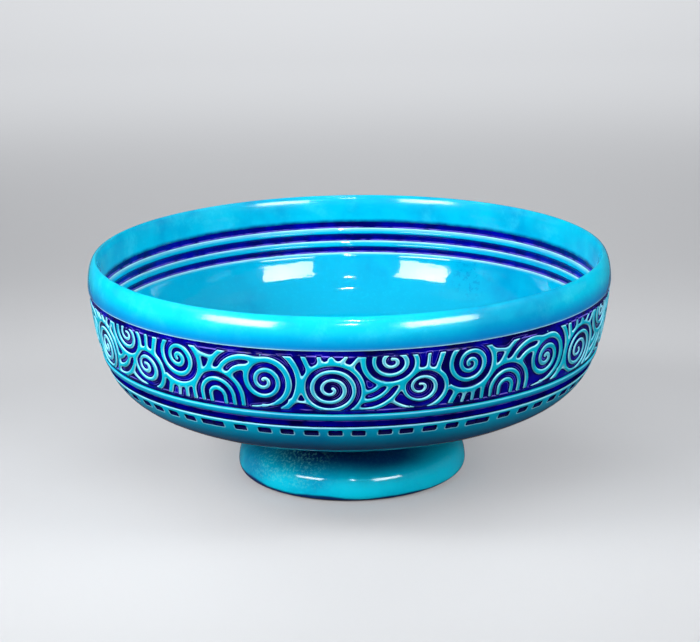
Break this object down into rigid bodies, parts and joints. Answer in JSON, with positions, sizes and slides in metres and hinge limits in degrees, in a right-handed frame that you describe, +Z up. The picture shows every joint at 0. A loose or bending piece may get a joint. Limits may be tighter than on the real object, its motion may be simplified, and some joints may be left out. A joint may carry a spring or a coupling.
{
  "type": "footed earthenware dish",
  "caption": "Round footed earthenware bowl, turquoise glaze, raised scroll frieze on a cobalt ground.",
  "frame": {"origin": "centre of the foot's bearing circle, on the surface that the dish stands on", "axes": "+Z up along the dish's axis, -Y towards the viewer of the picture, +X to the viewer's right"},
  "size_m": [0.2804, 0.2804, 0.123],
  "materials": {
    "turquoise_glaze": "gloss",
    "cobalt_enamel": "gloss",
    "biscuit_clay": "matt"
  },
  "bodies": {
    "root": {"bowl_body": "turquoise_glaze", "pedestal_foot": "turquoise_glaze", "foot_luting_ring": "biscuit_clay", "frieze_ground_enamel": "cobalt_enamel", "outer_groove_enamel": "cobalt_enamel", "inner_groove_enamel_1": "cobalt_enamel", "inner_groove_enamel_2": "cobalt_enamel", "inner_groove_enamel_3": "cobalt_enamel", "frieze_relief_1": "turquoise_glaze", "frieze_relief_2": "turquoise_glaze", "frieze_relief_3": "turquoise_glaze", "frieze_relief_4": "turquoise_glaze", "frieze_relief_5": "turquoise_glaze", "frieze_relief_6": "turquoise_glaze"}
  },
  "joints": []
}
